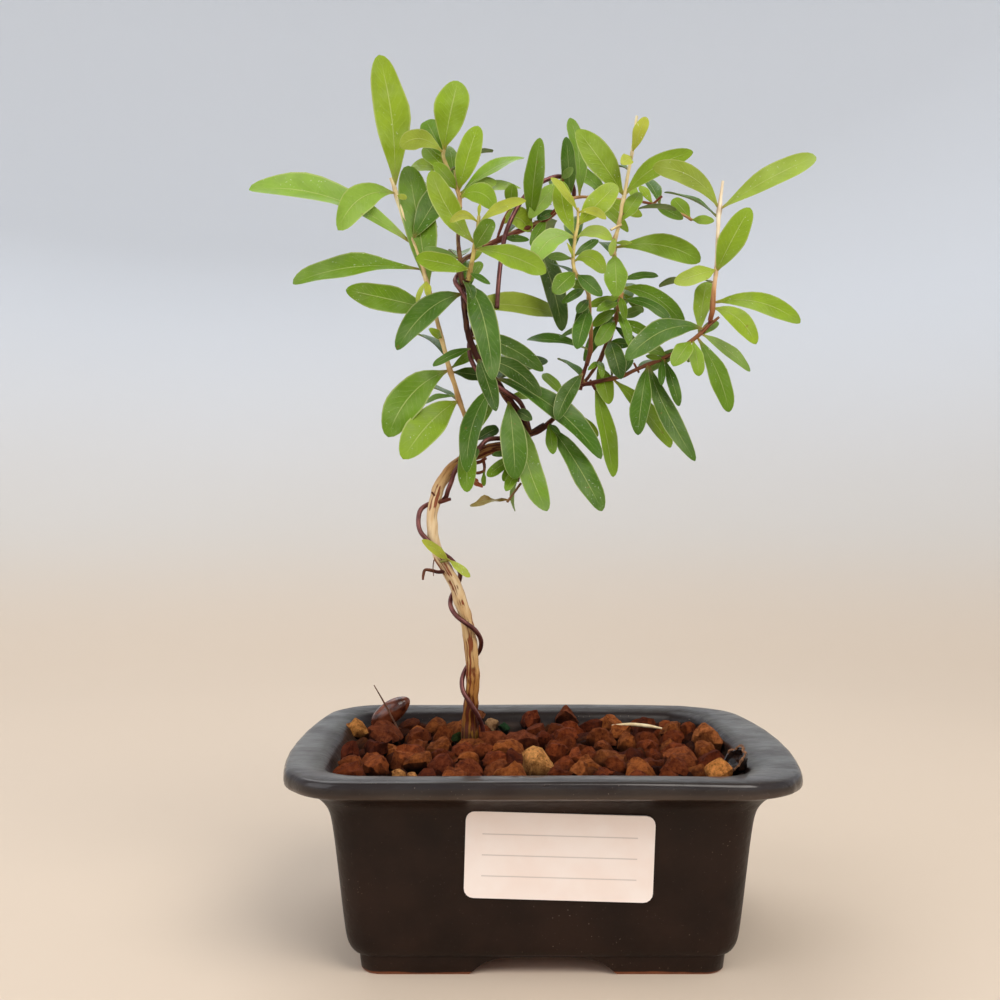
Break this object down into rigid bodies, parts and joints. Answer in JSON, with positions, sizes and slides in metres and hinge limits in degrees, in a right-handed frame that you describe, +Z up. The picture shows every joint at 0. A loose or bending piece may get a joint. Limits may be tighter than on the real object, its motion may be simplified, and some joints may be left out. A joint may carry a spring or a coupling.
{
  "type": "pomegranate bonsai",
  "caption": "Young pomegranate bonsai with an S-shaped, wired trunk and an open crown of narrow leaves, in a rectangular glazed pot filled with clay granules.",
  "frame": {"origin": "under the middle of the plant's bounding box, at the height of the pot's feet", "axes": "+Z up; +X to the right along the pot's long side; the labelled front faces -Y"},
  "size_m": [0.1604, 0.108, 0.2512],
  "materials": {
    "dark_glaze": "satin, near-black brown with a bluish sheen on the rim",
    "label_paper": "matte, blank",
    "screen_plastic": "matte",
    "fired_clay_soil": "matte, porous granules",
    "bark": "dry bark with brown streaks",
    "leaf": "glossy living leaf on a thin brown stem",
    "young_leaf": "soft young leaf",
    "dry_leaf": "dry and curled",
    "training_wire": "red-brown anodised, satin",
    "seed_shell": "glossy",
    "straw": "dry"
  },
  "bodies": {
    "root": {"pot": "dark_glaze", "label": "label_paper", "drain_screen_left": "screen_plastic", "drain_screen_right": "screen_plastic", "soil": "fired_clay_soil", "trunk": "bark", "shoot_left": "leaf", "shoot_top": "leaf", "shoot_front": "leaf", "limb_left": "leaf", "apex_tuft": "leaf", "limb_back": "leaf", "shoot_centre": "leaf", "shoot_upright": "leaf", "limb_right": "leaf", "shoot_right": "leaf", "trunk_sprout": "young_leaf", "dry_leaf": "dry_leaf", "wire_trunk": "training_wire", "wire_back": "training_wire", "seed_pod": "seed_shell", "dry_needle": "straw", "husk": "seed_shell", "straw": "straw"}
  },
  "joints": []
}
